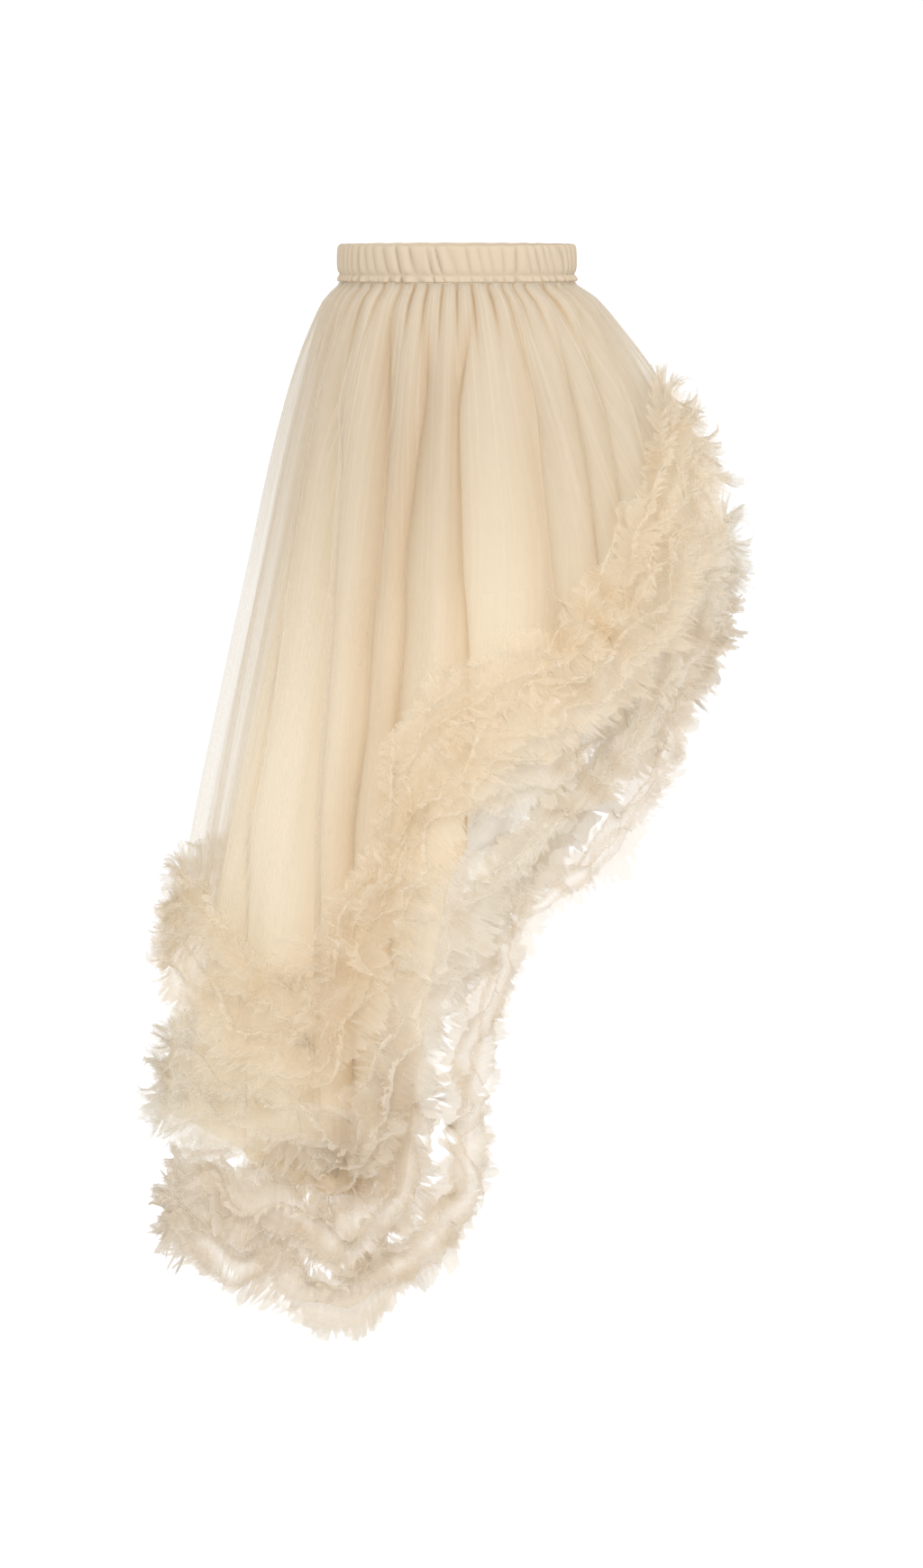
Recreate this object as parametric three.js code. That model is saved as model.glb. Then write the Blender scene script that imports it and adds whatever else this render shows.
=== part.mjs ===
// A tulle skirt with one short side: a gathered elastic waistband, three sheer layers over a lining,
// and rows of double-edged frill along the hem of each layer.
// Millimetres, +Z up. The origin is the middle of the waist. The front faces -Y, and the short side is +X.
// An angle goes round the waist: 0 is the short side, 90 the back, 180 the long side and -90 the front.
// A drop is a height below the waist seam.
import * as THREE from "three";

// Driving dimensions
const waist = { halfWidth: 125, halfDepth: 88, height: 40, inside: 4.6, outside: 2.6, puff: 2.2 };
const waistGathers = 50;
const clothWall = 1.6;
const frillWall = 1.4;
const seamGap = 0.4;
const seamHeight = -waist.height / 2 - seamGap;
const degree = Math.PI / 180;

// How far the outermost layer reaches from the waist's middle, at each drop
const reach = [
  { drop: 0, left: 126, right: 127, front: 89, back: 89 },
  { drop: 20, left: 142, right: 150, front: 103, back: 105 },
  { drop: 55, left: 157, right: 178, front: 122, back: 126 },
  { drop: 95, left: 170, right: 207, front: 140, back: 147 },
  { drop: 170, left: 191, right: 252, front: 162, back: 174 },
  { drop: 290, left: 217, right: 306, front: 188, back: 207 },
  { drop: 400, left: 241, right: 312, front: 205, back: 232 },
  { drop: 580, left: 278, right: 306, front: 228, back: 266 },
  { drop: 750, left: 307, right: 292, front: 246, back: 294 },
  { drop: 930, left: 330, right: 280, front: 262, back: 318 },
  { drop: 1120, left: 338, right: 274, front: 272, back: 336 },
];

// Where each layer's hem lies, as a drop at each angle
const topHem = [
  { at: -180, drop: 717 }, { at: -165, drop: 729 }, { at: -150, drop: 762 }, { at: -138, drop: 792 },
  { at: -126, drop: 818 }, { at: -118, drop: 822 }, { at: -113, drop: 771 }, { at: -108, drop: 675 },
  { at: -103, drop: 620 }, { at: -96, drop: 574 }, { at: -88, drop: 522 }, { at: -79, drop: 485 },
  { at: -70, drop: 459 }, { at: -62, drop: 440 }, { at: -54, drop: 399 }, { at: -46, drop: 351 },
  { at: -38, drop: 298 }, { at: -30, drop: 250 }, { at: -20, drop: 212 }, { at: -10, drop: 189 },
  { at: 0, drop: 180 }, { at: 20, drop: 202 }, { at: 40, drop: 252 }, { at: 60, drop: 336 },
  { at: 80, drop: 430 }, { at: 100, drop: 536 }, { at: 120, drop: 640 }, { at: 140, drop: 690 },
  { at: 160, drop: 712 },
];
const middleHem = [
  { at: -180, drop: 888 }, { at: -165, drop: 893 }, { at: -150, drop: 900 }, { at: -132, drop: 900 },
  { at: -120, drop: 904 }, { at: -110, drop: 906 }, { at: -104, drop: 863 }, { at: -99, drop: 791 },
  { at: -95, drop: 734 }, { at: -90, drop: 682 }, { at: -84, drop: 640 }, { at: -78, drop: 604 },
  { at: -70, drop: 566 }, { at: -62, drop: 541 }, { at: -54, drop: 505 }, { at: -46, drop: 445 },
  { at: -38, drop: 387 }, { at: -30, drop: 339 }, { at: -20, drop: 306 }, { at: -10, drop: 288 },
  { at: 0, drop: 282 }, { at: 10, drop: 290 }, { at: 20, drop: 310 }, { at: 40, drop: 374 },
  { at: 60, drop: 470 }, { at: 80, drop: 586 }, { at: 96, drop: 682 }, { at: 110, drop: 760 },
  { at: 125, drop: 824 }, { at: 142, drop: 866 }, { at: 160, drop: 882 },
];
const longHem = [
  { at: -180, drop: 1004 }, { at: -168, drop: 1004 }, { at: -155, drop: 1018 }, { at: -142, drop: 1038 },
  { at: -130, drop: 1058 }, { at: -118, drop: 1087 }, { at: -110, drop: 1078 }, { at: -100, drop: 1036 },
  { at: -92, drop: 993 }, { at: -88.5, drop: 958 }, { at: -87.5, drop: 900 }, { at: -86, drop: 824 },
  { at: -82, drop: 742 }, { at: -76, drop: 682 }, { at: -70, drop: 642 }, { at: -60, drop: 610 },
  { at: -50, drop: 580 }, { at: -42, drop: 540 }, { at: -35, drop: 477 }, { at: -28, drop: 419 },
  { at: -15, drop: 363 }, { at: 0, drop: 342 }, { at: 20, drop: 380 }, { at: 40, drop: 460 },
  { at: 60, drop: 570 }, { at: 80, drop: 694 }, { at: 95, drop: 800 }, { at: 108, drop: 900 },
  { at: 120, drop: 972 }, { at: 138, drop: 1010 }, { at: 158, drop: 1008 },
];
const liningHem = [
  { at: -180, drop: 884 }, { at: -150, drop: 906 }, { at: -130, drop: 930 }, { at: -112, drop: 944 },
  { at: -103, drop: 937 }, { at: -100, drop: 857 }, { at: -97, drop: 740 }, { at: -92, drop: 623 },
  { at: -80, drop: 507 }, { at: -60, drop: 410 }, { at: -35, drop: 276 }, { at: 0, drop: 196 },
  { at: 40, drop: 290 }, { at: 80, drop: 480 }, { at: 110, drop: 700 }, { at: 140, drop: 860 },
];

// The pleats of the top layer: where each valley lies, and how deep it is
const topValleys = [
  { at: -169, deep: 8 }, { at: -148, deep: 10 }, { at: -129, deep: 12 }, { at: -113, deep: 8 },
  { at: -102, deep: 10 }, { at: -88, deep: 13 }, { at: -70, deep: 11 }, { at: -53, deep: 9 },
  { at: -37, deep: 8 }, { at: -20, deep: 7 }, { at: -4, deep: 7 }, { at: 13, deep: 8 },
  { at: 31, deep: 9 }, { at: 47, deep: 11 }, { at: 64, deep: 10 }, { at: 80, deep: 12 },
  { at: 97, deep: 11 }, { at: 113, deep: 12 }, { at: 131, deep: 10 }, { at: 149, deep: 9 },
  { at: 168, deep: 8 },
];
const underPleats = 14;
const underValleys = Array.from({ length: underPleats }, (_, k) => ({
  at: -180 + ((k + 0.28 * Math.sin(2.3 * k)) * 360) / underPleats,
  deep: 8 + 2 * Math.sin(1.7 * k),
}));

// Each layer: how many layers it lies under, its hem, its pleats, and how many levels it has below the hips
const layers = {
  top: { under: 0, hem: topHem, valleys: topValleys, levels: 3 },
  middle: { under: 1, hem: middleHem, valleys: underValleys, levels: 3 },
  long: { under: 2, hem: longHem, valleys: underValleys, levels: 3 },
  lining: { under: 2.9, hem: liningHem, valleys: null, levels: 2 },
};
const hipDrops = [0, 16, 46, 110]; // all layers have a level at each of these, so that they stay apart
const columnsInPleat = 5;
const liningColumns = 40;
const steepestStep = 40; // the most that the hem drops between two columns
const ridgeShare = 0.6; // the share of a pleat's depth that lies inside the layer's mean surface
const fullFoldDrop = 190;
const fullSpaceDrop = 150;
const layerSpace = { atSeam: 2.1, full: 16 };
const foldAtSeam = 0.015;
const waver = { share: 0.03, from: 150, to: 900 };

// Frill rows: the strip is gathered along its middle, and both its edges stand off the cloth.
// Row 0 is the lowest of its layer. A row that has from and to covers only those angles.
const frill = { halfWidth: 22, rowSpace: 52, fromHem: 6, offFace: 0.7, standLow: 12, standHigh: 28, turnRadius: 250 };
const frillRows = [
  { name: "frill_top_lower", layer: "top", row: 0, waves: 18 },
  { name: "frill_top_upper", layer: "top", row: 1, waves: 18 },
  { name: "frill_middle_lower", layer: "middle", row: 0, waves: 14 },
  { name: "frill_middle_upper_back", layer: "middle", row: 1, waves: 8, from: 30, to: 230 },
  { name: "frill_middle_upper_front", layer: "middle", row: 1, waves: 2, from: -88, to: -65 },
  { name: "frill_long_lower", layer: "long", row: 0, waves: 14 },
  { name: "frill_long_centre", layer: "long", row: 1, waves: 6, from: 144, to: 256 },
  { name: "frill_long_upper", layer: "long", row: 2, waves: 2, from: 226, to: 248 },
];

// Finishes
const tulle = { color: 0xe6d3b6, roughness: 0.85, metalness: 0 };
const band = { color: 0xe0cba9, roughness: 0.8, metalness: 0 };
const liningCloth = { color: 0xdcc59c, roughness: 0.7, metalness: 0 };
const frillCloth = { color: 0xe4d2ba, roughness: 0.9, metalness: 0 };

// A smooth step from 0 at low to 1 at high
function easeBetween(low, high, x) {
  const t = Math.min(1, Math.max(0, (x - low) / (high - low)));
  return t * t * (3 - 2 * t);
}

// The slope of a table's curve at one row, which is 0 at a peak, so that the curve never overshoots a row
function rowSlope(xs, ys, i) {
  if (i === 0 || i === xs.length - 1) return 0;
  const before = (ys[i] - ys[i - 1]) / (xs[i] - xs[i - 1]);
  const after = (ys[i + 1] - ys[i]) / (xs[i + 1] - xs[i]);
  return before * after <= 0 ? 0 : (2 * before * after) / (before + after);
}

// A smooth curve through a table's rows
function curveThrough(xs, ys, x) {
  let i = xs.findIndex((known) => known > x) - 1;
  if (i < 0) i = x < xs[0] ? 0 : xs.length - 2;
  const wide = xs[i + 1] - xs[i];
  const t = Math.min(1, Math.max(0, (x - xs[i]) / wide));
  const startSlope = rowSlope(xs, ys, i) * wide;
  const endSlope = rowSlope(xs, ys, i + 1) * wide;
  const rise = ys[i + 1] - ys[i];
  return ys[i] + t * (startSlope + t * (3 * rise - 2 * startSlope - endSlope + t * (startSlope + endSlope - 2 * rise)));
}

const drops = reach.map((row) => row.drop);
const reachAt = (side, drop) => curveThrough(drops, reach.map((row) => row[side]), drop);

// An angle brought between -180 and 180
const wrapped = (angle) => ((((angle + 180) % 360) + 360) % 360) - 180;

// A hem's drop at an angle. The table goes once round, so it is repeated on both sides.
function hemDrop(hem, angle) {
  const turns = [-360, 0, 360].flatMap((turn) => hem.map((row) => ({ at: row.at + turn, drop: row.drop })));
  return curveThrough(turns.map((row) => row.at), turns.map((row) => row.drop), wrapped(angle));
}

// The drop of a line that runs a set distance above a hem, square to it, even where the hem is steep
function lineAboveHem(hem, distance, angle) {
  const widest = distance / frill.turnRadius / degree;
  let highest = Infinity;
  for (let turn = -widest; turn <= widest; turn += widest / 24) {
    const aside = turn * degree * frill.turnRadius;
    const above = Math.sqrt(Math.max(0, distance * distance - aside * aside));
    highest = Math.min(highest, hemDrop(hem, angle + turn) - above);
  }
  return highest;
}

// A point of the skirt's smooth outline: four quarter ellipses whose reach depends on the drop
function outlinePoint(angle, drop) {
  const turn = angle * degree;
  const [c, s] = [Math.cos(turn), Math.sin(turn)];
  const swell = 1 + waver.share * easeBetween(waver.from, waver.to, drop) * Math.sin(4 * turn);
  const x = reachAt(c >= 0 ? "right" : "left", drop) * c * swell;
  const y = reachAt(s >= 0 ? "back" : "front", drop) * s * swell;
  return new THREE.Vector3(x, y, seamHeight - drop);
}

// The direction that points out of the outline
function outward(angle, drop) {
  const around = outlinePoint(angle + 0.5, drop).sub(outlinePoint(angle - 0.5, drop));
  const down = outlinePoint(angle, drop + 1).sub(outlinePoint(angle, Math.max(0, drop - 1)));
  return down.cross(around).normalize();
}

// How far a pleat lifts the cloth at an angle: a round ridge between two sharp valleys
function pleatLift(valleys, angle) {
  if (!valleys) return 0;
  const at = wrapped(angle);
  let i = valleys.findLastIndex((valley) => valley.at <= at);
  if (i < 0) i = valleys.length - 1;
  const [from, to] = [valleys[i], valleys[(i + 1) % valleys.length]];
  const wide = (to.at - from.at + 360) % 360;
  const t = ((at - from.at + 360) % 360) / wide;
  const deep = from.deep + (to.deep - from.deep) * t;
  return deep * (Math.sin(Math.PI * t) - ridgeShare);
}

// How far a layer lies out of the outline at an angle and a drop
function layerLift(layer, angle, drop) {
  const space = layerSpace.atSeam + (layerSpace.full - layerSpace.atSeam) * easeBetween(0, fullSpaceDrop, drop);
  const fold = foldAtSeam + (1 - foldAtSeam) * easeBetween(0, fullFoldDrop, drop);
  return pleatLift(layer.valleys, angle) * fold - layer.under * space;
}

// The drops of a layer's levels at an angle
function levelDrops(layer, angle) {
  const hips = hipDrops.at(-1);
  const rest = hemDrop(layer.hem, angle) - hips;
  const lower = Array.from({ length: layer.levels }, (_, k) => hips + (rest * (k + 1)) / layer.levels);
  return [...hipDrops, ...lower];
}

// A point on a layer's middle surface, moved out by some distance
function layerPoint(layer, angle, drop, out) {
  const lift = layerLift(layer, angle, drop) + out;
  return outlinePoint(angle, drop).addScaledVector(outward(angle, drop), lift);
}

// The angles of a layer's columns: some in each pleat, and more where its hem is steep
function columnAngles(layer) {
  const even = Array.from({ length: liningColumns }, (_, k) => -180 + (k * 360) / liningColumns);
  const inPleat = (valley, i, all) => {
    const wide = ((all[(i + 1) % all.length].at - valley.at + 360) % 360) / columnsInPleat;
    return Array.from({ length: columnsInPleat }, (_, k) => valley.at + k * wide);
  };
  const angles = layer.valleys ? layer.valleys.flatMap(inPleat) : even;
  return angles.flatMap((angle, i) => {
    const next = i + 1 < angles.length ? angles[i + 1] : angles[0] + 360;
    const step = Math.abs(hemDrop(layer.hem, next) - hemDrop(layer.hem, angle));
    const parts = Math.max(1, Math.ceil(step / steepestStep));
    return Array.from({ length: parts }, (_, k) => angle + ((next - angle) * k) / parts);
  });
}

// A closed wall between two grids of points, each a list of lines that run across the cloth.
// The outer grid's lines go counter-clockwise seen from above, and each runs downwards.
function wallBetween(outer, inner, joined) {
  const [lines, across] = [outer.length, outer[0].length];
  const position = [...outer.flat(), ...inner.flat()].flatMap((p) => [p.x, p.y, p.z]);
  const index = [];
  const outerAt = (i, j) => (i % lines) * across + j;
  const innerAt = (i, j) => lines * across + outerAt(i, j);
  const quad = (a, b, c, d) => index.push(a, b, c, a, c, d);
  const last = joined ? lines : lines - 1;
  for (let i = 0; i < last; i++) {
    for (let j = 0; j + 1 < across; j++) {
      quad(outerAt(i, j), outerAt(i, j + 1), outerAt(i + 1, j + 1), outerAt(i + 1, j));
      quad(innerAt(i, j), innerAt(i + 1, j), innerAt(i + 1, j + 1), innerAt(i, j + 1));
    }
    quad(outerAt(i, 0), outerAt(i + 1, 0), innerAt(i + 1, 0), innerAt(i, 0));
    const edge = across - 1;
    quad(outerAt(i, edge), innerAt(i, edge), innerAt(i + 1, edge), outerAt(i + 1, edge));
  }
  for (let j = 0; !joined && j + 1 < across; j++) {
    quad(outerAt(0, j), innerAt(0, j), innerAt(0, j + 1), outerAt(0, j + 1));
    quad(outerAt(last, j), outerAt(last, j + 1), innerAt(last, j + 1), innerAt(last, j));
  }
  const geometry = new THREE.BufferGeometry();
  geometry.setAttribute("position", new THREE.Float32BufferAttribute(position, 3));
  geometry.setIndex(index);
  geometry.computeVertexNormals();
  return geometry;
}

function namedMesh(name, geometry, finish) {
  const mesh = new THREE.Mesh(geometry, new THREE.MeshStandardMaterial(finish));
  mesh.name = name;
  return mesh;
}

// One layer of the skirt, as a thin wall all round
function clothLayer(name, finish) {
  const layer = layers[name];
  const angles = columnAngles(layer);
  const side = (out) =>
    angles.map((angle) => levelDrops(layer, angle).map((drop) => layerPoint(layer, angle, drop, out)));
  const node = name === "lining" ? name : "tulle_" + name;
  return namedMesh(node, wallBetween(side(clothWall / 2), side(-clothWall / 2), true), finish);
}

// A point on a layer's outer face as it is built, between the rows of one of its columns
function facePoint(layer, angle, drop, out) {
  const depths = levelDrops(layer, angle);
  let j = depths.findLastIndex((depth) => depth <= drop);
  j = Math.min(j, depths.length - 2);
  const t = (drop - depths[j]) / (depths[j + 1] - depths[j]);
  const over = layerPoint(layer, angle, depths[j], clothWall / 2 + out);
  return over.lerp(layerPoint(layer, angle, depths[j + 1], clothWall / 2 + out), t);
}

// The columns of a layer that one of its frill rows crosses, in order, and the drop of the row at each
function frillLine({ layer, row, from, to }) {
  const { hem } = layers[layer];
  const distance = frill.fromHem + row * frill.rowSpace;
  const line = columnAngles(layers[layer]).map((angle) => ({ angle, drop: lineAboveHem(hem, distance, angle) }));
  if (to === undefined) return { line, joined: true };
  const past = ({ angle }) => (angle - from + 720) % 360;
  return { line: line.filter((point) => past(point) <= to - from).sort((a, b) => past(a) - past(b)), joined: false };
}

// One row of frill. Its middle lies on the layer's outer face, and its two edges swing out in waves.
function frillStrip(spec) {
  const layer = layers[spec.layer];
  const { line, joined } = frillLine(spec);
  const at = (i) => line[joined ? (i + line.length) % line.length : Math.min(line.length - 1, Math.max(0, i))];
  const middles = line.map(({ angle, drop }) => facePoint(layer, angle, drop, frillWall / 2 + frill.offFace));
  const steps = middles.map((point, i) => (i ? point.distanceTo(middles[i - 1]) : 0));
  const alongRow = steps.map((_, i) => steps.slice(0, i + 1).reduce((sum, step) => sum + step, 0));
  const wholeRow = alongRow.at(-1) + (joined ? middles.at(-1).distanceTo(middles[0]) : 0);
  const profiles = line.map(({ angle, drop }, i) => {
    const radius = Math.hypot(middles[i].x, middles[i].y);
    const aside = wrapped(at(i + 1).angle - at(i - 1).angle) * degree * radius;
    const fall = at(i + 1).drop - at(i - 1).drop;
    const share = frill.halfWidth / Math.hypot(aside, fall);
    const phase = (alongRow[i] / wholeRow) * spec.waves * 2 * Math.PI;
    const edge = (side, turn) => {
      const stand = frill.standLow + (frill.standHigh - frill.standLow) * (0.5 + 0.5 * Math.sin(phase + turn));
      const turned = angle - (side * fall * share) / radius / degree;
      return layerPoint(layer, turned, drop + side * aside * share, stand);
    };
    return [edge(-1, 0), middles[i], edge(1, Math.PI / 2)];
  });
  const face = (way) => profiles.map((points, i) => points.map((point, j) => {
    const normal = profileNormal(profiles, i, j, joined);
    return point.clone().addScaledVector(normal, (way * frillWall) / 2);
  }));
  return namedMesh(spec.name, wallBetween(face(1), face(-1), joined), frillCloth);
}

// The direction square to a grid of points at one of them
function profileNormal(grid, i, j, joined) {
  const last = grid.length - 1;
  const line = (k) => grid[joined ? (k + grid.length) % grid.length : Math.min(last, Math.max(0, k))];
  const around = line(i + 1)[j].clone().sub(line(i - 1)[j]);
  const down = grid[i][Math.min(2, j + 1)].clone().sub(grid[i][Math.max(0, j - 1)]);
  return down.cross(around).normalize();
}

// The waistband: an elastic casing whose outer face is gathered into upright puffs over a plain inside
function waistband() {
  const half = waist.height / 2;
  const puffed = [
    { up: half, out: waist.outside - 1.2, puff: 0.1 },
    { up: half * 0.7, out: waist.outside, puff: 1 },
    { up: -half * 0.45, out: waist.outside, puff: 1 },
    { up: -half * 0.72, out: waist.outside - 1, puff: 0.2 },
    { up: -half, out: waist.outside + 0.4, puff: 0.4 },
  ];
  const plain = [{ up: half }, { up: -half }];
  const inPuff = [0, 0.36, 0.64];
  const count = waistGathers * inPuff.length;
  const ringPoint = (i, out, up) => {
    const turn = ((Math.floor(i / inPuff.length) + inPuff[i % inPuff.length]) / waistGathers) * 2 * Math.PI;
    const [c, s] = [Math.cos(turn), Math.sin(turn)];
    const normal = new THREE.Vector3(c / waist.halfWidth, s / waist.halfDepth, 0).normalize();
    return new THREE.Vector3(waist.halfWidth * c, waist.halfDepth * s, up).addScaledVector(normal, out);
  };
  const raised = (i) => (i % inPuff.length ? waist.puff : 0);
  const indices = Array.from({ length: count }, (_, i) => i);
  const outer = indices.map((i) => puffed.map(({ up, out, puff }) => ringPoint(i, out + puff * raised(i), up)));
  const innerEnds = indices.map((i) => plain.map(({ up }) => ringPoint(i, -waist.inside, up)));
  return namedMesh("waistband", ringFrom(outer, innerEnds), band);
}

// A closed ring whose outer face has more levels than its inner one
function ringFrom(outer, inner) {
  const loops = outer.map((line, i) => [...line, ...inner[i].slice().reverse()]);
  const [count, across] = [loops.length, loops[0].length];
  const position = loops.flat().flatMap((p) => [p.x, p.y, p.z]);
  const index = [];
  for (let i = 0; i < count; i++) {
    for (let j = 0; j < across; j++) {
      const [a, b] = [i * across + j, i * across + ((j + 1) % across)];
      const next = ((i + 1) % count) * across;
      const [c, d] = [next + ((j + 1) % across), next + j];
      index.push(a, b, c, a, c, d);
    }
  }
  const geometry = new THREE.BufferGeometry();
  geometry.setAttribute("position", new THREE.Float32BufferAttribute(position, 3));
  geometry.setIndex(index);
  geometry.computeVertexNormals();
  return geometry;
}

const skirt = new THREE.Group();
skirt.add(waistband());
skirt.add(clothLayer("top", tulle), clothLayer("middle", tulle), clothLayer("long", tulle));
skirt.add(clothLayer("lining", liningCloth));
frillRows.forEach((spec) => skirt.add(frillStrip(spec)));

export default skirt;
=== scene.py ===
"""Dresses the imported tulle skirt: gathered net layers, a lining, frill rows and an elastic waistband."""

import bpy
import numpy as np
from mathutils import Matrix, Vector


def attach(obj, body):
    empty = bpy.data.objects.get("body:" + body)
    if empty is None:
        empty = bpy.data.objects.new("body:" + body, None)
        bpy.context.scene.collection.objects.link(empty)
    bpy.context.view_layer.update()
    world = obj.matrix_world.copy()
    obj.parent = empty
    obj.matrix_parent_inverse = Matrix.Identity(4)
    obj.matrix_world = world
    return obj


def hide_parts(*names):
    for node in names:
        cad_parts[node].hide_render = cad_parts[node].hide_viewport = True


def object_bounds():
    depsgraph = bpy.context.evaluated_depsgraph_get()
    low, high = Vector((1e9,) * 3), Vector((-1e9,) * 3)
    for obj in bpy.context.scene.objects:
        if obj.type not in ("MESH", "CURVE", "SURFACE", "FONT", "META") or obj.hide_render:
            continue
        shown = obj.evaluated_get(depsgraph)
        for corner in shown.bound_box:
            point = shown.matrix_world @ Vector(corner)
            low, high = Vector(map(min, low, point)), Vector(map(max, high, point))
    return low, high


bl_info = {
    "name": "Tulle skirt",
    "version": (1, 0, 0),
    "blender": (4, 5, 0),
    "location": "3D View > Sidebar > Skirt",
    "description": "Dresses a packed tulle skirt with sheer layers, frills, lining and waistband",
    "category": "Object",
}

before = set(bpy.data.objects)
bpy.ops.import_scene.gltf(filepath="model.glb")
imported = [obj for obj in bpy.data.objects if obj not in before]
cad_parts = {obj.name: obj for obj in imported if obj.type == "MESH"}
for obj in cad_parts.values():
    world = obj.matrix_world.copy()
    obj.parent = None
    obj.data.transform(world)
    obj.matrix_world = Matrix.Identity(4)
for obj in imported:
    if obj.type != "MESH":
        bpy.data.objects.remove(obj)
cad_low, cad_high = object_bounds()

MM = 0.001
MM_A_METRE = 1000

# The skirt's form, as its solids have it. Lengths are in millimetres and angles in degrees.
# An angle goes round the waist: 0 is the short side, 90 the back, 180 the long side and -90 the front.
WAIST_HALF_WIDTH = 125.0
WAIST_HALF_DEPTH = 88.0
SEAM_HEIGHT = -20.4
RIDGE_SHARE = 0.6
CREASES_APART = 5.0
LONGEST_DROP = 1120
FULL_SPACE_DROP = 150.0
SPACE_AT_SEAM = 2.1
FULL_SPACE = 16.0
WAVER = 0.03
WAVER_FROM = 150.0
WAVER_TO = 900.0
TURN_RADIUS = 250.0

# How far the outermost layer reaches. Columns: drop, left, right, front, back
REACH = np.array(
    [
        (0, 126, 127, 89, 89),
        (20, 142, 150, 103, 105),
        (55, 157, 178, 122, 126),
        (95, 170, 207, 140, 147),
        (170, 191, 252, 162, 174),
        (290, 217, 306, 188, 207),
        (400, 241, 312, 205, 232),
        (580, 278, 306, 228, 266),
        (750, 307, 292, 246, 294),
        (930, 330, 280, 262, 318),
        (1120, 338, 274, 272, 336),
    ],
    dtype=float,
)
LEFT, RIGHT, FRONT, BACK = 1, 2, 3, 4

# Each layer's hem. Columns: angle, drop
TOP_HEM = np.array(
    [
        (-180, 706), (-165, 719), (-150, 758), (-138, 792), (-126, 818), (-118, 828), (-113, 792),
        (-108, 712), (-103, 640), (-96, 578), (-88, 522), (-79, 485), (-70, 459), (-62, 440),
        (-54, 399), (-46, 351), (-38, 298), (-30, 250), (-20, 212), (-10, 189), (0, 180), (20, 202),
        (40, 252), (60, 336), (80, 430), (100, 536), (120, 640), (140, 690), (160, 704),
    ],
    dtype=float,
)
MIDDLE_HEM = np.array(
    [
        (-180, 877), (-165, 884), (-150, 896), (-132, 900), (-120, 904), (-110, 906), (-104, 863),
        (-99, 791), (-95, 734), (-90, 682), (-84, 640), (-78, 604), (-70, 566), (-62, 541),
        (-54, 505), (-46, 445), (-38, 387), (-30, 339), (-20, 306), (-10, 288), (0, 282), (10, 290),
        (20, 310), (40, 374), (60, 470), (80, 586), (96, 682), (110, 760), (125, 824), (142, 866),
        (160, 874),
    ],
    dtype=float,
)
LONG_HEM = np.array(
    [
        (-180, 1004), (-168, 1004), (-155, 1012), (-142, 1028), (-130, 1046), (-118, 1075),
        (-110, 1071), (-100, 1041), (-92, 1004), (-88.5, 970), (-87.5, 912), (-86, 832), (-82, 746),
        (-76, 684), (-70, 643), (-60, 610), (-50, 576), (-42, 522), (-35, 455), (-28, 405),
        (-15, 363), (0, 342), (20, 380), (40, 460), (60, 570), (80, 694), (95, 800), (108, 900),
        (120, 972), (138, 1010), (158, 1008),
    ],
    dtype=float,
)
LINING_HEM = np.array(
    [
        (-180, 884), (-150, 906), (-130, 942), (-112, 964), (-102.5, 964), (-100, 880), (-97, 745),
        (-92, 623), (-80, 507), (-60, 410), (-35, 276), (0, 196), (40, 290), (80, 480), (110, 700),
        (140, 860),
    ],
    dtype=float,
)

# The main creases. On the front a crease is given by its x at each of these drops, so
# that all layers fold at the same place. Behind, it is given by its angle.
CREASE_DROPS = np.array((26, 123, 181, 298, 356, 472, 569), dtype=float)
FRONT_CREASES = np.array(
    [
        (-127, -157, -167, -184, -191, -209, -229),
        (-102, -128, -127, -134, -135, -143, -149),
        (-71, -76, -78, -85, -94, -98, -114),
        (-28, -34, -44, -58, -57, -67, -73),
        (18, 3, 4, 7, 12, 16, 10),
        (66, 83, 87, 98, 106, 129, 148),
        (102, 127, 139, 153, 163, 185, 205),
        (128, 158, 168, 187, 198, 220, 240),
        (147, 186, 204, 231, 245, 262, 275),
    ],
    dtype=float,
)
BACK_CREASES = np.array((15, 34, 51, 72, 89, 110, 127, 146, 165), dtype=float)
CREASE_DEPTHS = np.array((9, 11, 15, 13, 11, 12, 8, 8, 7, 8, 10, 12, 9, 13, 11, 9, 12, 8), dtype=float)
PANEL_LEANS = np.array(
    (1, 0.8, 1.3, 1.25, 0.8, 1.5, 0.9, 1.2, 1, 0.9, 1.3, 0.8, 1.2, 1, 0.8, 1.3, 1.1, 0.9), dtype=float
)
LAP_SIZES = np.array(
    (0.8, 1.1, 1.5, 1.2, 0.9, 1.6, 0.7, 0.9, 0.7, 1, 1.3, 0.8, 1.2, 0.9, 1.4, 0.8, 1.1, 0.9), dtype=float
)
# How much painted shade lies beside each crease
CREASE_PAINTED_SHADES = np.array(
    (0.4, 0.6, 1, 0.9, 0.9, 0.7, 0.4, 0.35, 0.3, 0.5, 0.7, 0.9, 0.6, 1, 0.8, 0.5, 0.9, 0.6), dtype=float
)
LAP_SIDES = np.array((1, -1, 1, 1, -1, 1, -1, -1, 1, 1, -1, 1, -1, -1, 1, 1, -1, 1), dtype=float)

# Each layer: how many layers it lies under, its hem, its grid, and the seed of its ragged edge
LAYERS = {
    "top": dict(under=0.0, hem=TOP_HEM, columns=1080, levels=50, seed=3),
    "middle": dict(under=1.0, hem=MIDDLE_HEM, columns=800, levels=46, seed=5),
    "long": dict(under=2.0, hem=LONG_HEM, columns=800, levels=46, seed=7),
    "lining": dict(under=2.6, hem=LINING_HEM, columns=800, levels=42, seed=9),
}

# Each net: its streaks round the waist, and the share of the view that it covers at the waist, the
# same lower down, and the drop in metres at which it gets there
NET_LOOKS = {
    "top": (190, (0.66, 0.31, 0.34)),
    "middle": (170, (0.6, 0.22, 0.5)),
    "long": (160, (0.6, 0.15, 0.5)),
}

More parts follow.
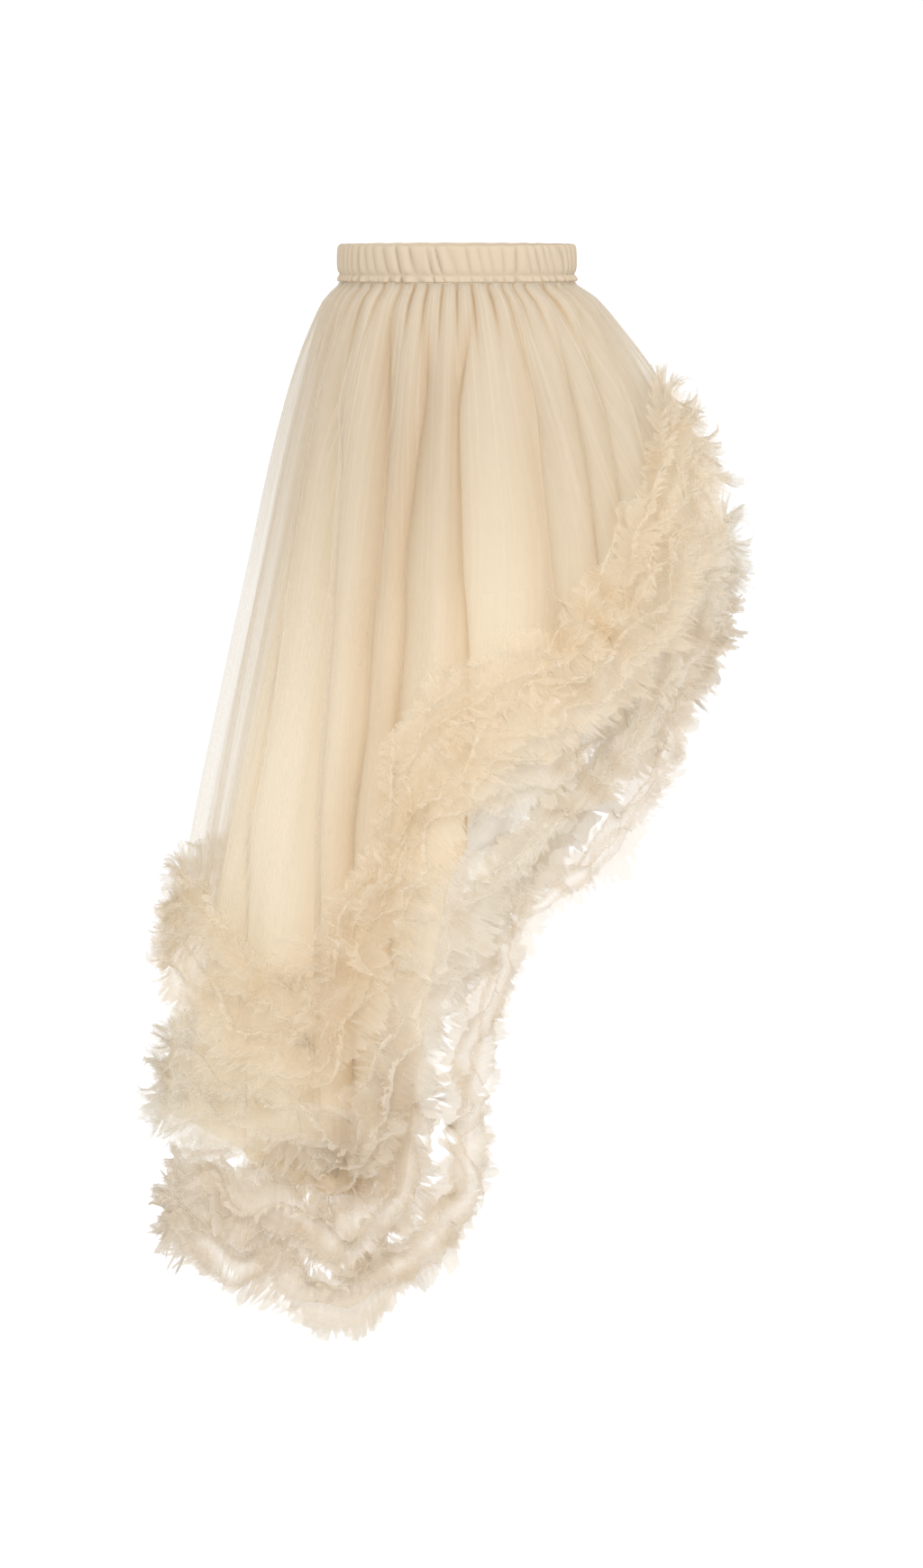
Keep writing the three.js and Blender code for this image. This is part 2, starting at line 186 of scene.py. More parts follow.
# Each frill row: its width from the gathering line to a raw edge, its layer, its place above the hem
# (0 is lowest), and the angles that it covers
FRILL_ROWS = (
    dict(node="frill_top_lower", wide=40, layer="top", row=0, first=-180, last=180, seed=21),
    dict(node="frill_top_upper", wide=36, layer="top", row=1, first=-180, last=180, seed=22),
    dict(node="frill_middle_lower", wide=42, layer="middle", row=0, first=-180, last=180, seed=23),
    dict(node="frill_middle_upper_back", wide=38, layer="middle", row=1, first=30, last=230, seed=24),
    dict(node="frill_middle_upper_front", wide=36, layer="middle", row=1, first=-88, last=-65, seed=25),
    dict(node="frill_long_lower", wide=38, layer="long", row=0, first=-180, last=180, seed=26),
    dict(node="frill_long_centre", wide=42, layer="long", row=1, first=144, last=262, seed=27),
    dict(node="frill_long_upper", wide=34, layer="long", row=2, first=226, last=248, seed=28),
)
# Where a row is narrower or sparser than elsewhere. Columns: angle, share of the width, share of the
# cloth, share of the distance to the hem
THINNED = {
    "frill_top_lower": np.array(
        [(-180, 0.85, 1, 1), (-150, 1, 1, 1), (150, 1, 1, 1), (180, 0.85, 1, 1)], dtype=float
    ),
    "frill_middle_upper_back": np.array(
        [(-180, 0.8, 1, 1), (-150, 1, 1, 1), (140, 1, 1, 1), (180, 0.8, 1, 1)], dtype=float
    ),
    "frill_long_centre": np.array(
        [
            (-180, 0.55, 0.7, 1), (-160, 0.55, 0.7, 1), (-140, 1, 1, 1), (100, 1, 1, 1),
            (140, 0.55, 0.7, 1), (180, 0.55, 0.7, 1),
        ],
        dtype=float,
    ),
    "frill_top_upper": np.array(
        [(-124, 1, 1, 1), (-117, 0.7, 1, 0.55), (-104, 0.65, 1, 0.5), (-98, 1, 1, 1)], dtype=float
    ),
    "frill_middle_lower": np.array(
        [(-88, 1, 1, 1), (-76, 0.55, 1, 1), (-50, 0.5, 0.85, 1), (-38, 1, 1, 1)], dtype=float
    ),
    "frill_long_lower": np.array(
        [
            (-104, 1, 1, 1), (-92, 0.8, 0.9, 1), (-84, 0.8, 0.8, 1), (-72, 0.8, 0.62, 1),
            (-46, 0.8, 0.6, 1), (-34, 0.9, 0.85, 1), (-22, 1, 1, 1),
        ],
        dtype=float,
    ),
}
FRILL_FROM_HEM = 6.0
FRILL_ROW_SPACE = 52.0
# Each ply of a strip: its lean from the cloth in degrees, how much that wanders, and its share of
# the width
FRILL_PLIES = ((16, 10, 1.1), (42, 24, 0.97), (66, 24, 0.88))
PLY_SEED_STEP = 100
# How far each ply's gathering line wanders over the cloth, and the length of row that one turn takes
PLY_WANDERS = (6, 20, 22)
WANDER_LENGTH = 46
# Where a strip's points lie across it: 0 is the gathering line, and 1 either way is a raw edge
STRIP_ACROSS = np.array([-1, -0.78, -0.52, -0.26, 0, 0.26, 0.52, 0.78, 1])
STRIP_LIFT = 3.0
ROW_SAMPLES = 6000
ROW_EASE = 20
ROW_RUN = 3
END_LENGTH = 60
END_SHARE = 0.15
# How far a strip stands off its gathering line: freely up to one distance, and never past the two
FREE_STAND = 20
LAST_STAND = 14

# The waistband's section, down its outside and up its inside. Columns: height, distance out of the
# waist's line, share of the gathers
BAND_OUTSIDE = [
    (20.0, -0.6, 0.0), (19.6, 1.0, 0.25), (18.0, 2.1, 0.6), (14.0, 2.6, 0.9), (8.0, 2.9, 1.0),
    (1.0, 3.0, 1.0), (-5.0, 2.8, 1.0), (-9.0, 2.2, 0.8), (-11.2, 1.2, 0.4), (-12.3, 0.7, 0.15),
    (-13.4, 1.3, 0.5), (-15.5, 2.4, 1.1), (-17.8, 2.8, 1.3), (-19.4, 2.5, 1.2), (-20.0, 1.2, 0.6),
]
BAND_INSIDE = [
    (-20.0, -2.6, 0.0), (-19.0, -4.0, 0.1), (-8.0, -4.3, 0.3), (6.0, -4.3, 0.3), (18.6, -4.1, 0.15),
    (19.8, -2.8, 0.0),
]
BAND_COLUMNS = 1400
BAND_GATHERS = 55
PINCHED_LEVEL = 9
PINCHED_HEIGHT = BAND_OUTSIDE[PINCHED_LEVEL][0]
BAND_EDGE = 17
STITCHES = 236

# The backdrop, in metres: how far it reaches, the radius of its curve, and its wall's height
SWEEP_REACH = 40.0
SWEEP_RADIUS = 1.5
SWEEP_HEIGHT = 9.0
SWEEP_STEPS = 24
# Each light: the setting with its power, its place in metres and its size
LIGHTS = (
    ("key", (-1.2, -6.9, 2.4), 1.8),
    ("left_fill", (-5.2, -4.0, 1.4), 2.4),
    ("right_fill", (5.2, -4.0, 1.4), 2.4),
)
# What the photo shows: its height in pixels, the size of a pixel, and its middle in metres
VIEW_ROWS = 1740
PIXEL = 0.00097
VIEW_CENTRE = Vector((0.00485, 0, -0.5607))
FILM_SIZE = 36


def ease_between(low, high, x):
    """A smooth step from 0 at low to 1 at high: 3 t squared less 2 t cubed."""
    t = np.clip((x - low) / (high - low), 0, 1)
    return t * t * (3 - 2 * t)


def curve_through(xs, ys, x):
    """A smooth curve through a table: cubic pieces whose slope at a row is the harmonic mean of the
    slopes beside it, or 0 at a peak and at the ends, so that the curve never overshoots a row."""
    wide = np.diff(xs)
    slope = np.diff(ys) / wide
    both = slope[:-1] * slope[1:]
    total = np.where(both > 0, slope[:-1] + slope[1:], 1.0)
    tangent = np.concatenate([[0.0], np.where(both > 0, 2 * both / total, 0.0), [0.0]])
    i = np.clip(np.searchsorted(xs, x, side="right") - 1, 0, len(xs) - 2)
    t = np.clip((x - xs[i]) / wide[i], 0, 1)
    start = tangent[i] * wide[i]
    end = tangent[i + 1] * wide[i]
    rise = ys[i + 1] - ys[i]
    return ys[i] + t * (start + t * (3 * rise - 2 * start - end + t * (start + end - 2 * rise)))


def wrapped(angle):
    """The same angle, brought between -180 and 180."""
    return (angle + 180) % 360 - 180


def hem_drop(hem, angle):
    """A hem's drop at an angle. The table goes once round, so it is repeated on both sides."""
    turns = np.concatenate([hem + (turn, 0) for turn in (-360, 0, 360)])
    return curve_through(turns[:, 0], turns[:, 1], wrapped(angle))


def line_above_hem(hem, distance, angle):
    """The drop of a line that runs a set distance above a hem, square to it: the highest of the
    circles of that radius about the hem's points."""
    widest = np.degrees(distance / TURN_RADIUS)
    turns = np.linspace(-widest, widest, 49)
    aside = np.radians(turns) * TURN_RADIUS
    above = np.sqrt(np.maximum(0, distance**2 - aside**2))
    return (hem_drop(hem, angle[..., None] + turns) - above).min(axis=-1)


def outline_points(angle, drop):
    """Points of the smooth outline: four quarter ellipses whose reach depends on the drop."""
    turn = np.radians(angle)
    c, s = np.cos(turn), np.sin(turn)
    swell = 1 + WAVER * ease_between(WAVER_FROM, WAVER_TO, drop) * np.sin(4 * turn)
    side = [curve_through(REACH[:, 0], REACH[:, k], drop) for k in (LEFT, RIGHT, FRONT, BACK)]
    x = np.where(c >= 0, side[1], side[0]) * c * swell
    y = np.where(s >= 0, side[3], side[2]) * s * swell
    return np.stack([x, y, SEAM_HEIGHT - drop], axis=-1)


def unit(v):
    """Vectors brought to length 1."""
    return v / np.maximum(np.linalg.norm(v, axis=-1, keepdims=True), 1e-9)


def outward(angle, drop):
    """The direction that points out of the outline: its downward step crossed with its step round."""
    around = outline_points(angle + 0.5, drop) - outline_points(angle - 0.5, drop)
    down = outline_points(angle, drop + 1) - outline_points(angle, np.maximum(0, drop - 1))
    return unit(np.cross(down, around))


def layer_space(layer, drop):
    """How far a layer lies under the outline."""
    space = SPACE_AT_SEAM + (FULL_SPACE - SPACE_AT_SEAM) * ease_between(0, FULL_SPACE_DROP, drop)
    return layer["under"] * space


def layer_points(layer, angle, drop, out=0.0):
    """Points on a layer's middle surface, moved out by some distance."""
    lift = out - layer_space(layer, drop)
    return outline_points(angle, drop) + outward(angle, drop) * np.asarray(lift)[..., None]


def crease_rows(layer):
    """Each crease's angle on a layer, at even drops. On the front it is where the layer is seen at the
    crease's x. Two creases keep some degrees apart."""
    drops = np.linspace(0, LONGEST_DROP, 57)
    fine = np.linspace(-179.9, -0.1, 720)
    rows = []
    for drop in drops:
        x = np.maximum.accumulate(layer_points(layer, fine, np.full(fine.shape, drop))[:, 0])
        place = [np.interp(drop, CREASE_DROPS, row) for row in FRONT_CREASES]
        angles = np.concatenate([np.interp(place, x, fine), BACK_CREASES])
        apart = np.arange(len(angles)) * CREASES_APART
        rows.append(np.maximum.accumulate(angles - apart) + apart)
    return drops, np.array(rows).T


def crease_folds(layer, folds, u, drop):
    """The main folds, as a change of angle, a lift and a painted shade from 0 to 1 beside each crease.
    Between two creases the cloth crowns as a sine whose top leans to one side. At a crease the angle
    turns back for a few degrees while the lift steps down, so that one panel laps over the next."""
    drops, rows = crease_rows(layer)
    places = np.stack([np.interp(drop, drops, row) for row in rows])
    after = (u - places) % 360
    before = 360 - after
    k, following = after.argmin(axis=0), before.argmin(axis=0)
    left, right = after.min(axis=0), before.min(axis=0)
    t = left / (left + right)
    deep = CREASE_DEPTHS[k] * (1 - t) + CREASE_DEPTHS[following] * t
    lift = folds.depth * deep * (np.sin(np.pi * t ** PANEL_LEANS[k]) - RIDGE_SHARE)
    lift = lift * ease_between(0, 120, drop)
    away = wrapped(u - places) / folds.lap_reach
    strength = ease_between(25, 150, drop)
    size = LAP_SIZES[:, None, None]
    turned = (size * away * np.exp(-(away**2) / 2)).sum(axis=0) * folds.lap * strength
    step = np.tanh(away * 1.4) * np.exp(-((np.abs(away) / 4.5) ** 2))
    lift = lift - (size * LAP_SIDES[:, None, None] * step).sum(axis=0) * folds.lap_depth * strength
    # Painted shade: a wide band leading up to each crease and a narrow one just past it, fading in below
    # the seam
    dark = CREASE_PAINTED_SHADES[following] * np.exp(-right / 3.2) + 0.4 * CREASE_PAINTED_SHADES[k] * np.exp(-left / 1.3)
    return turned, lift, dark * ease_between(5, 90, drop)


def smooth_noise(count, knots, rng, joined):
    """Noise from -1 to 1 along a row: random values at even knots, eased from one to the next."""
    values = rng.uniform(-1, 1, knots + 1)
    if joined:
        values[-1] = values[0]
    at = np.linspace(0, knots, count, endpoint=not joined)
    i = np.minimum(at.astype(int), knots - 1)
    t = at - i
    t = t * t * (3 - 2 * t)
    return values[i] * (1 - t) + values[i + 1] * t


def ring_noise(count, knots, rng):
    """The same for a closed ring, as a column that works with a grid of columns by levels."""
    return smooth_noise(count, knots, rng, True)[:, None]


def surface_object(name, points, uv, joined, materials, values=None, facing=None):
    """A mesh from a grid of points in millimetres, columns by levels. Columns run counter-clockwise
    seen from above and levels run down, so that the faces point out."""
    columns, levels = points.shape[:2]
    strips = columns if joined else columns - 1
    i, j = np.meshgrid(np.arange(strips), np.arange(levels - 1), indexing="ij")
    beside = (i + 1) % columns
    corners = [i * levels + j, i * levels + j + 1, beside * levels + j + 1, beside * levels + j]
    quads = np.stack(corners, axis=-1).reshape(-1, 4)
    uv_corners = [uv[i, j], uv[i, j + 1], uv[i + 1, j + 1], uv[i + 1, j]]
    loops_uv = np.stack(uv_corners, axis=2).reshape(-1, 2)
    mesh = bpy.data.meshes.new(name)
    mesh.vertices.add(columns * levels)
    mesh.vertices.foreach_set("co", (points.reshape(-1) * MM).astype(np.float32))
    mesh.loops.add(quads.size)
    mesh.loops.foreach_set("vertex_index", quads.reshape(-1).astype(np.int32))
    mesh.polygons.add(len(quads))
    mesh.polygons.foreach_set("loop_start", np.arange(0, quads.size, 4, dtype=np.int32))
    mesh.uv_layers.new(name="UVMap")
    mesh.uv_layers[0].data.foreach_set("uv", loops_uv.reshape(-1).astype(np.float32))
    mesh.update(calc_edges=True)
    mesh.validate()
    for key, value in (values or {}).items():
        attribute = mesh.attributes.new(key, "FLOAT", "POINT")
        attribute.data.foreach_set("value", value.reshape(-1).astype(np.float32))
    mesh.polygons.foreach_set("use_smooth", np.ones(len(mesh.polygons), dtype=bool))
    if facing is not None:
        mesh.normals_split_custom_set_from_vertices(facing.reshape(-1, 3).tolist())
    for material in materials:
        mesh.materials.append(material)
    piece = bpy.data.objects.new(name, mesh)
    bpy.context.scene.collection.objects.link(piece)
    return piece


def joined_surfaces(name, pieces):
    """Several meshes of this script's own made into one object, and named."""
    bpy.ops.object.select_all(action="DESELECT")
    for piece in pieces:
        piece.select_set(True)
    bpy.context.view_layer.objects.active = pieces[0]
    bpy.ops.object.join()
    pieces[0].name = name
    pieces[0].data.name = name
    return pieces[0]


def spread_area(points, joined):
    """The area of a grid surface in square metres, from the cross product of each cell's diagonals."""
    grid = np.concatenate([points, points[:1]]) if joined else points
    first = grid[1:, 1:] - grid[:-1, :-1]
    second = grid[1:, :-1] - grid[:-1, 1:]
    return float(np.linalg.norm(np.cross(first, second), axis=-1).sum() / 2 * MM**2)


def grid_uv(columns, levels):
    """Places on a piece's own pattern, from 0 to 1 each way, with one more column than the mesh so
    that the pattern closes round a tube."""
    u = np.linspace(0, 1, columns + 1)
    v = np.linspace(0, 1, levels)
    return np.stack(np.meshgrid(u, v, indexing="ij"), axis=-1)


# Materials


def fresh_material(name):
    """An empty node material, with its output."""
    material = bpy.data.materials.new(name)
    material.use_nodes = True
    material.node_tree.nodes.clear()
    output = material.node_tree.nodes.new("ShaderNodeOutputMaterial")
    return material, material.node_tree, output


def stretched_noise(tree, scale_u, scale_v, detail=2.0):
    """Noise on the piece's own pattern, stretched along it."""
    coordinate = tree.nodes.new("ShaderNodeTexCoord")
    mapping = tree.nodes.new("ShaderNodeMapping")
    mapping.inputs["Scale"].default_value = (scale_u, scale_v, 1)
    noise = tree.nodes.new("ShaderNodeTexNoise")
    noise.inputs["Scale"].default_value = 1.0
    noise.inputs["Detail"].default_value = detail
    tree.links.new(coordinate.outputs["UV"], mapping.inputs["Vector"])
    tree.links.new(mapping.outputs["Vector"], noise.inputs["Vector"])
    return noise.outputs["Fac"]


def ranged(tree, value, low, high, to_low, to_high):
    """A value brought from one range to another, and kept in it."""
    node = tree.nodes.new("ShaderNodeMapRange")
    node.inputs["From Min"].default_value = low
    node.inputs["From Max"].default_value = high
    node.inputs["To Min"].default_value = to_low
    node.inputs["To Max"].default_value = to_high
    tree.links.new(value, node.inputs["Value"])
    return node.outputs["Result"]


def worked(tree, operation, a, b):
    """One sum on two values or numbers."""
    node = tree.nodes.new("ShaderNodeMath")
    node.operation = operation
    for socket, value in zip(node.inputs, (a, b)):
        if isinstance(value, (int, float)):
            socket.default_value = value
        else:
            tree.links.new(value, socket)
    return node.outputs["Value"]


def two_colours(tree, value, dark, light):
    """A colour between two, by a value."""
    mix = tree.nodes.new("ShaderNodeMix")
    mix.data_type = "RGBA"
    mix.inputs["A"].default_value = (*dark, 1)
    mix.inputs["B"].default_value = (*light, 1)
    tree.links.new(value, mix.inputs["Factor"])
    return mix.outputs["Result"]


def cloth_shader(tree, colour, through, bump=None, sheen=0.0):
    """Light that cloth sends back and light that it lets through, mixed."""
    back = tree.nodes.new("ShaderNodeBsdfPrincipled")
    back.inputs["Roughness"].default_value = 0.85
    back.inputs["Specular IOR Level"].default_value = 0.0
    back.inputs["Sheen Weight"].default_value = sheen
    onward = tree.nodes.new("ShaderNodeBsdfTranslucent")
    for shader, socket in ((back, "Base Color"), (onward, "Color")):
        tree.links.new(colour, shader.inputs[socket])
        if bump is not None:
            tree.links.new(bump, shader.inputs["Normal"])
    mix = tree.nodes.new("ShaderNodeMixShader")
    mix.inputs["Fac"].default_value = through
    tree.links.new(back.outputs["BSDF"], mix.inputs[1])
    tree.links.new(onward.outputs["BSDF"], mix.inputs[2])
    return mix.outputs["Shader"]


def sheer(tree, output, shader, cover):
    """Cloth that covers only a share of what is behind it."""
    clear = tree.nodes.new("ShaderNodeBsdfTransparent")
    mix = tree.nodes.new("ShaderNodeMixShader")
    tree.links.new(cover, mix.inputs["Fac"])
    tree.links.new(clear.outputs["BSDF"], mix.inputs[1])
    tree.links.new(shader, mix.inputs[2])
    tree.links.new(mix.outputs["Shader"], output.inputs["Surface"])


def place_down(tree):
    """The place down, or across, a piece's own pattern."""
    coordinate = tree.nodes.new("ShaderNodeTexCoord")
    split = tree.nodes.new("ShaderNodeSeparateXYZ")
    tree.links.new(coordinate.outputs["UV"], split.inputs["Vector"])
    return split.outputs["Y"]


def mesh_value(tree, name):
    """A value that the mesh holds: the painted shade in its folds, or how sparse its cloth is."""
    attribute = tree.nodes.new("ShaderNodeAttribute")
    attribute.attribute_name = name
    return attribute.outputs["Fac"]


def net_material(name, look, repeats, cover):
    """Fine net. Its gathers make it denser near the waist, and it is denser along the lines where it
    was pressed into folds. cover gives its share at the waist, lower down, and the drop in between."""
    material, tree, output = fresh_material(name)
    at_waist, below, fade = cover
    streak = stretched_noise(tree, repeats, 1.2, 1.0)
    # The net's colour goes towards its shade colour by the painted shade of its creases and gathers
    colour = two_colours(tree, mesh_value(tree, "hollow"), look.net[:], look.shade[:])
    base = ranged(tree, place_down(tree), 0.0, fade, at_waist, below)
    lines = ranged(tree, streak, 0.5, 0.74, 0.95, 1.35)
    sheer(tree, output, cloth_shader(tree, colour, look.through), worked(tree, "MULTIPLY", base, lines))
    return material


def frill_material(name, look, metres, colour, shade, cover):
    """Gathered net strip: threads run across it, and its raw edges end in uneven tufts."""
    material, tree, output = fresh_material(name)
    doubled = worked(tree, "MULTIPLY", place_down(tree), 2.0)
    from_middle = worked(tree, "ABSOLUTE", worked(tree, "SUBTRACT", doubled, 1.0), 0.0)
    threads = stretched_noise(tree, metres * look.tufts, 1.6, 1.0)
    uneven = worked(tree, "MULTIPLY", worked(tree, "SUBTRACT", threads, 0.5), 1.8)
    edge = ranged(tree, worked(tree, "ADD", from_middle, uneven), 0.72, 0.92, 1.0, 0.0)
    body = ranged(tree, threads, 0.3, 0.7, cover * 0.88, cover * 1.1)
    body = worked(tree, "MULTIPLY", body, worked(tree, "SUBTRACT", 1.0, mesh_value(tree, "sparse")))
    # The strip's colour goes towards its deep colour by a painted shade, most near the gathering line and
    # in soft blotches
    shader = cloth_shader(tree, two_colours(tree, mesh_value(tree, "hollow"), colour, shade), look.through)
    sheer(tree, output, shader, worked(tree, "MULTIPLY", edge, body))
    return material


def woven_material(name, threads, raised, colours, through, sheen=0.0):
    """Close woven cloth, mixed towards its shade colour by a painted shade in its folds and puffs. threads
    gives their scale each way and their detail, and raised gives the bump's strength and its height in
    metres."""
    material, tree, output = fresh_material(name)
    bump = tree.nodes.new("ShaderNodeBump")
    bump.inputs["Strength"].default_value, bump.inputs["Distance"].default_value = raised
    tree.links.new(stretched_noise(tree, *threads), bump.inputs["Height"])
    # Painted shade: the cloth's colour goes towards its shade colour where the mesh marks folds and puff
    # valleys
    colour = two_colours(tree, mesh_value(tree, "hollow"), *colours)
    shader = cloth_shader(tree, colour, through, bump.outputs["Normal"], sheen)
    tree.links.new(shader, output.inputs["Surface"])
    return material


# Sizes and colours


def colour_property(name, description, default):
    """A colour that a user may change."""
    return bpy.props.FloatVectorProperty(
        name=name, description=description, default=default, subtype="COLOR", size=3, min=0, max=1
    )


def number_property(name, description, default, low, high, **more):
    """A number that a user may change, and its range."""
    return bpy.props.FloatProperty(
        name=name, description=description, default=default, min=low, max=high, **more
    )


class SkirtFolds(bpy.types.PropertyGroup):
    """Sizes of the folds in the net layers and the lining. Depths are in millimetres."""

    gathers: bpy.props.IntProperty(
        name="Gathers", description="Small gathers round the waist seam", default=48, min=20, max=90
    )
    gather_depth: number_property("Gather depth", "Depth of a small gather", 3.4, 0, 6)
    soft_depth: number_property("Soft depth", "Depth of the soft folds", 1.2, 0, 4)
    depth: number_property("Crease depth", "Share of the main creases' depth", 1.5, 0, 2)
    lap: number_property("Lap", "How far a fold laps over the next panel, in degrees", 2.0, 0, 4)
    lap_reach: number_property("Lap reach", "How wide a lap's turn is, in degrees", 1.5, 0.5, 5)
    lap_depth: number_property("Lap depth", "How far a lapped panel stands over the next", 3.2, 0, 6)


class SkirtFrills(bpy.types.PropertyGroup):
    """Sizes of the gathered strips, in millimetres."""

    fold_length: number_property("Fold length", "Length of row that one fold takes", 9.0, 4, 20)
    fold_height: number_property("Fold height", "Height of a fold at the raw edge", 1.2, 1, 12)
    puff: number_property("Puff", "Height of the soft puffs between folds", 8, 0, 20)
    cluster: number_property("Cluster", "Length of row over which the strip leans one way", 32.0, 10, 90)
    sway: number_property("Sway", "How far a raw edge fans along its row", 19, 0, 30)
    sample: number_property("Sample", "Distance between the strip's columns", 1.0, 0.4, 3)


class SkirtLook(bpy.types.PropertyGroup):
    """Colours, the shade colours that paint shade into folds and hollows, and sheerness."""

    net: colour_property("Net", "The net's colour", (0.82, 0.765, 0.67))
    # Each shade colour here is painted shade: a mesh's painted shade value mixes it in where folds,
    # creases, gathers and puffs lie in shade
    shade: colour_property("Net shade", "The net's colour in its folds", (0.77, 0.62, 0.44))
    top_frill: colour_property("Top frills", "The top layer's frills", (0.915, 0.845, 0.725))
    top_frill_shade: colour_property("Top frills, deep", "The same, where deep", (0.86, 0.74, 0.57))
    middle_frill: colour_property("Middle frills", "The middle layer's frills", (0.92, 0.88, 0.80))
    middle_frill_shade: colour_property("Middle frills, deep", "The same, where deep", (0.80, 0.70, 0.56))
    long_frill: colour_property("Lowest frills", "The longest layer's frills", (0.86, 0.79, 0.69))
    long_frill_shade: colour_property("Lowest frills, deep", "The same, where deep", (0.80, 0.70, 0.56))
    lining: colour_property("Lining", "The lining's colour", (0.96, 0.89, 0.75))
    lining_shade: colour_property("Lining shade", "The lining's colour in its folds", (0.72, 0.56, 0.37))
    band: colour_property("Band", "The waistband's colour", (0.58, 0.48, 0.355))
    band_shade: colour_property("Band shade", "The waistband's colour in hollows", (0.42, 0.32, 0.22))
    frill_cover: number_property("Frill cover", "Share of the view that one frill ply covers", 0.52, 0, 1)
    long_cover: number_property("Lowest frills' cover", "The same for the lowest frills", 0.84, 0, 1)
    through: number_property("Light through", "Share of light that the net lets through", 0.6, 0, 1)
    tufts: number_property("Tufts", "Tufts in a metre of raw edge", 170, 50, 2000)


class SkirtStage(bpy.types.PropertyGroup):
    """Floor, light and camera."""

    floor_gap: number_property(
        "Floor gap", "Height of the lowest frill over the floor", 0.16, 0, 1, unit="LENGTH"
    )
    distance: number_property("Distance", "From the camera to the skirt", 12.0, 2, 40, unit="LENGTH")
    camera_height: number_property(
        "Camera height", "Height of the camera over the waist", 0.22, -2, 4, unit="LENGTH"
    )
    around: number_property("Light all round", "Strength of the even white light", 0.86, 0, 3)
    paper: number_property("Paper", "How much light the backdrop gives of itself", 0.3, 0, 3)
    key: number_property("Key light", "Power of the large soft light", 220, 0, 2000, unit="POWER")
    left_fill: number_property("Left light", "Power of the light at the left", 55, 0, 2000, unit="POWER")
    right_fill: number_property(
        "Right light", "Power of the light at the right", 170, 0, 2000, unit="POWER"
    )


# Pieces


def gather_folds(folds, u, drop):
    """The small folds, as a lift and a painted shade in the gathers' valleys. Gathers with narrow
    valleys fade down from the seam, and softer ones run on between the creases."""
    rng = np.random.default_rng(3)
    count = len(u)
    warp = 1.1 * ring_noise(count, 23, rng) + 1.6 * ring_noise(count, 9, rng)
    uneven = 0.8 + 0.5 * ring_noise(count, 31, rng)
    drift = 0.6 * ring_noise(count, 15, rng) * drop / 200
    wave = np.abs(np.sin(np.radians(u) * folds.gathers / 2 + warp + drift)) ** 0.8
    start = ease_between(-3, 10, drop) * (1 - 0.95 * ease_between(20, 180, drop))
    lift = folds.gather_depth * uneven * start * (1.7 * wave - 1.0)
    # Painted shade in the narrow valleys of the gathers, just below the seam
    dark = 1.7 * uneven * np.maximum(0, 1 - 2.2 * wave) * (1 - ease_between(5, 80, drop))
    slow = np.sin(np.radians(u) * 37 + warp * 1.7 + drop / 340)
    return lift + folds.soft_depth * slow * uneven * ease_between(60, 260, drop), dark


def net_layer(name, folds):
    """One gathered layer as a grid of points, from the waist seam to its hem, with the drop and the
    painted shade of its creases and gathers at each point."""
    layer = LAYERS[name]
    rng = np.random.default_rng(layer["seed"])
    u = np.linspace(-180, 180, layer["columns"], endpoint=False)[:, None]
    share = np.linspace(0, 1, layer["levels"])[None, :] ** 1.25
    ragged = 1.6 * ring_noise(layer["columns"], 190, rng) * share**8
    drop = share * (hem_drop(layer["hem"], u) + ragged)
    u = u + 0 * drop
    turned, lift, hollow = crease_folds(layer, folds, u, drop)
    small, gathered = gather_folds(folds, u, drop)
    return layer_points(layer, u - turned, drop, lift + small), drop, np.clip(hollow + gathered, 0, 1)


def layer_uv(name, drop):
    """Places on a layer's pattern: round the waist from 0 to 1, and down in metres."""
    around = np.linspace(0, 1, LAYERS[name]["columns"] + 1)[:, None]
    down = np.concatenate([drop, drop[:1]]) * MM
    return np.stack([around + 0 * down, down], axis=-1)


def row_path(spec, step):
    """A frill row's gathering line in even steps: its points, its directions along the row and out of
    the cloth, its shares of width and cloth, its length, and whether it closes."""
    layer = LAYERS[spec["layer"]]
    angle = np.linspace(spec["first"], spec["last"], ROW_SAMPLES)
    distance = FRILL_FROM_HEM + spec["row"] * FRILL_ROW_SPACE
    thinned = thinned_at(spec, angle)
    drop = line_above_hem(layer["hem"], distance, angle)
    drop = drop + (hem_drop(layer["hem"], angle) - drop) * (1 - thinned[2])
    points = layer_points(layer, angle, drop, STRIP_LIFT)
    along = np.concatenate([[0], np.cumsum(np.linalg.norm(np.diff(points, axis=0), axis=1))])
    joined = spec["last"] - spec["first"] == 360
    count = int(along[-1] / step)
    even = np.linspace(0, along[-1], count, endpoint=not joined)
    points = np.stack([np.interp(even, along, points[:, k]) for k in range(3)], axis=1)
    angle, drop = np.interp(even, along, angle), np.interp(even, along, drop)
    out = outward(angle, drop)
    window = np.hanning(2 * ROW_EASE + 1)
    window /= window.sum()
    padded = np.pad(points, ((ROW_EASE, ROW_EASE), (0, 0)), mode="wrap" if joined else "edge")
    eased = np.stack([np.convolve(padded[:, k], window, mode="valid") for k in range(3)], axis=1)
    if joined:
        run = np.roll(eased, -ROW_RUN, axis=0) - np.roll(eased, ROW_RUN, axis=0)
    else:
        run = np.gradient(eased, axis=0)
    run = unit(run - out * (run * out).sum(axis=1, keepdims=True))
    return points, run, out, thinned_at(spec, angle), along[-1], joined


def thinned_at(spec, angle):
    """A row's shares of its width, its cloth and its distance to the hem at an angle."""
    table = THINNED.get(spec["node"])
    if table is None:
        return np.ones((3, len(angle)))
    return np.array([np.interp(wrapped(angle), table[:, 0], table[:, k]) for k in (1, 2, 3)])


